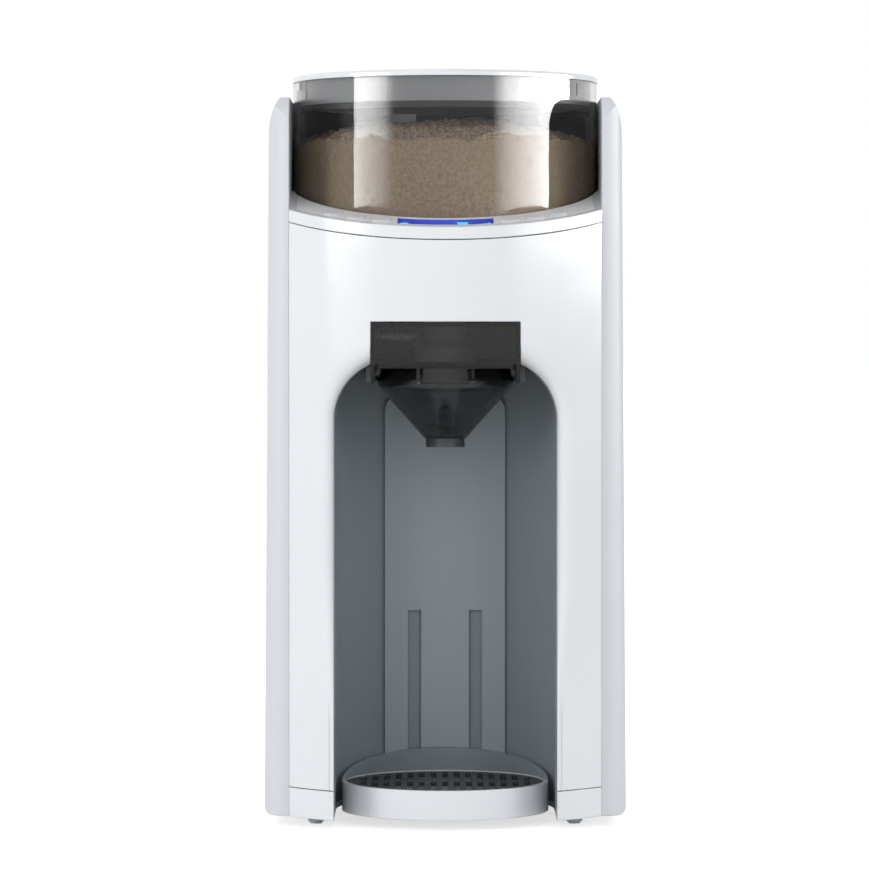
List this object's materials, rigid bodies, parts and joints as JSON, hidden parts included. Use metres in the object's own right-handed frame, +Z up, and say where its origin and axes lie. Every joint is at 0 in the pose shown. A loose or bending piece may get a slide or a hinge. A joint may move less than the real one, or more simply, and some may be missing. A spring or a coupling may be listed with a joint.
{
  "type": "baby formula maker",
  "caption": "Free-standing infant formula maker: clear powder tank over a curved front with a tall bottle bay, smoky mixing funnel, drip tray and rear water tank.",
  "frame": {"origin": "centre of the bounding box at the table, under the feet", "axes": "+Z up, -Y towards the front with the bottle bay, +X to the right seen from the front"},
  "size_m": [0.184, 0.33, 0.3825],
  "materials": {
    "white_gloss": "smooth gloss white moulding",
    "white_matte": "matte white moulding",
    "button_white": "satin white button",
    "grey_liner": "satin grey liner",
    "grey_track": "satin paler grey",
    "silver_panel": "satin silver",
    "display": "lit blue display window",
    "dark_plastic": "dark moulding",
    "board_green": "circuit board",
    "rubber_black": "matt rubber",
    "rubber_grey": "matt grey rubber",
    "smoky_clear": "smoky translucent",
    "clear_tank": "smoke-tinted clear",
    "frosted_skirt": "frosted translucent",
    "water_clear": "blue-grey translucent",
    "acetal": "natural acetal",
    "brass_part": "turned brass",
    "steel": "bright steel",
    "black_steel": "black pin",
    "silicone": "milky silicone",
    "grille_grey": "satin dark grey",
    "spout_steel": "polished",
    "float_orange": "matte float",
    "powder": "fine matte powder"
  },
  "bodies": {
    "housing": {"base_chassis": "white_gloss", "base_plate": "white_matte", "base_feet": "rubber_grey", "front_fascia": "white_gloss", "left_side_panel": "white_gloss", "right_side_panel": "white_gloss", "rear_panel": "white_gloss", "rear_top_cover": "white_gloss", "well_ring": "dark_plastic", "bay_liner": "grey_liner", "bay_back_panel": "grey_track", "tank_deck": "white_matte", "deck_bezel": "white_gloss", "control_panel": "silver_panel", "lcd_window": "display", "lcd_module": "dark_plastic", "control_board": "board_green", "funnel_dock": "grey_liner", "powder_chute": "white_matte", "water_spout": "spout_steel", "gearbox_housing": "dark_plastic", "gear_motor": "steel", "shaft_bush": "brass_part", "water_pump": "dark_plastic", "water_heater": "steel", "power_board": "board_green", "water_hoses": "silicone", "tank_dock": "white_gloss", "dock_seal": "rubber_black", "cord_gland": "dark_plastic", "case_screws": "steel"},
    "powder_tank": {"powder_tank": "clear_tank", "formula_powder": "powder", "powder_wiper": "white_matte"},
    "wheel": {"measuring_wheel": "white_matte", "stirrer": "white_matte"},
    "powder_lid": {"lid_top": "white_gloss", "lid_skirt": "frosted_skirt", "lid_seal": "rubber_black"},
    "drive": {"drive_gear": "acetal"},
    "idler": {"idler_gear": "acetal"},
    "pinion": {"motor_pinion": "brass_part"},
    "funnel": {"mixing_funnel": "smoky_clear", "cover_pins": "black_steel"},
    "funnel_cover": {"funnel_cover": "smoky_clear"},
    "tray": {"tray_shell": "white_gloss", "tray_collar": "grey_liner"},
    "grille": {"tray_grille": "grille_grey"},
    "water_tank": {"water_tank": "water_clear", "tank_valve": "white_matte", "lid_hinge_pin": "steel"},
    "water_lid": {"water_tank_lid": "white_gloss"},
    "float": {"float": "float_orange"},
    "button_1": {"button_1": "button_white"},
    "button_2": {"button_2": "button_white"},
    "button_3": {"button_3": "button_white"},
    "button_4": {"button_4": "button_white"},
    "button_5": {"button_5": "button_white"},
    "button_6": {"button_6": "button_white"}
  },
  "joints": [
    {"name": "powder_tank_lift", "type": "slide", "parent": "housing", "child": "powder_tank", "axis": [0, 0, 1], "range_m": [0, 0.06]},
    {"name": "lid_lift", "type": "slide", "parent": "powder_tank", "child": "powder_lid", "axis": [0, 0, 1], "range_m": [0, 0.05]},
    {"name": "wheel_spin", "type": "hinge", "parent": "powder_tank", "child": "wheel", "pos_m": [0, -0.065, 0.3], "axis": [0, 0, 1], "continuous": true},
    {"name": "drive_spin", "type": "hinge", "parent": "housing", "child": "drive", "pos_m": [0, -0.065, 0.274], "axis": [0, 0, 1], "continuous": true},
    {"name": "idler_spin", "type": "hinge", "parent": "housing", "child": "idler", "pos_m": [0, -0.0225, 0.274], "axis": [0, 0, 1], "continuous": true},
    {"name": "pinion_spin", "type": "hinge", "parent": "housing", "child": "pinion", "pos_m": [0, 0.0025, 0.274], "axis": [0, 0, 1], "continuous": true},
    {"name": "funnel_slide", "type": "slide", "parent": "housing", "child": "funnel", "axis": [0, -1, 0], "range_m": [0, 0.09]},
    {"name": "cover_swing", "type": "hinge", "parent": "funnel", "child": "funnel_cover", "pos_m": [0, -0.153, 0.2318], "axis": [1, 0, 0], "range_deg": [0, 75]},
    {"name": "tray_climb", "type": "slide", "parent": "housing", "child": "tray", "axis": [0, 0, 1], "range_m": [0, 0.06]},
    {"name": "grille_lift", "type": "slide", "parent": "tray", "child": "grille", "axis": [0, 0, 1], "range_m": [0, 0.03]},
    {"name": "water_tank_lift", "type": "slide", "parent": "housing", "child": "water_tank", "axis": [0, 0, 1], "range_m": [0, 0.06]},
    {"name": "water_lid_swing", "type": "hinge", "parent": "water_tank", "child": "water_lid", "pos_m": [0, 0.156, 0.354], "axis": [-1, 0, 0], "range_deg": [0, 100]},
    {"name": "float_rise", "type": "slide", "parent": "water_tank", "child": "float", "axis": [0, 0, 1], "range_m": [0, 0.03]},
    {"name": "button_1_press", "type": "slide", "parent": "housing", "child": "button_1", "axis": [0, 0.2419, -0.9703], "range_m": [0, 0.001], "stiffness_N_per_m": 400},
    {"name": "button_2_press", "type": "slide", "parent": "housing", "child": "button_2", "axis": [0, 0.2419, -0.9703], "range_m": [0, 0.001], "stiffness_N_per_m": 400},
    {"name": "button_3_press", "type": "slide", "parent": "housing", "child": "button_3", "axis": [0, 0.2419, -0.9703], "range_m": [0, 0.001], "stiffness_N_per_m": 400},
    {"name": "button_4_press", "type": "slide", "parent": "housing", "child": "button_4", "axis": [0, 0.2419, -0.9703], "range_m": [0, 0.001], "stiffness_N_per_m": 400},
    {"name": "button_5_press", "type": "slide", "parent": "housing", "child": "button_5", "axis": [0, 0.2419, -0.9703], "range_m": [0, 0.001], "stiffness_N_per_m": 400},
    {"name": "button_6_press", "type": "slide", "parent": "housing", "child": "button_6", "axis": [0, 0.2419, -0.9703], "range_m": [0, 0.001], "stiffness_N_per_m": 400}
  ],
  "couplings": [
    {"joint": "drive_spin", "follows": "wheel_spin", "ratio": 1},
    {"joint": "idler_spin", "follows": "wheel_spin", "ratio": -1.8333},
    {"joint": "pinion_spin", "follows": "wheel_spin", "ratio": 2.75}
  ]
}
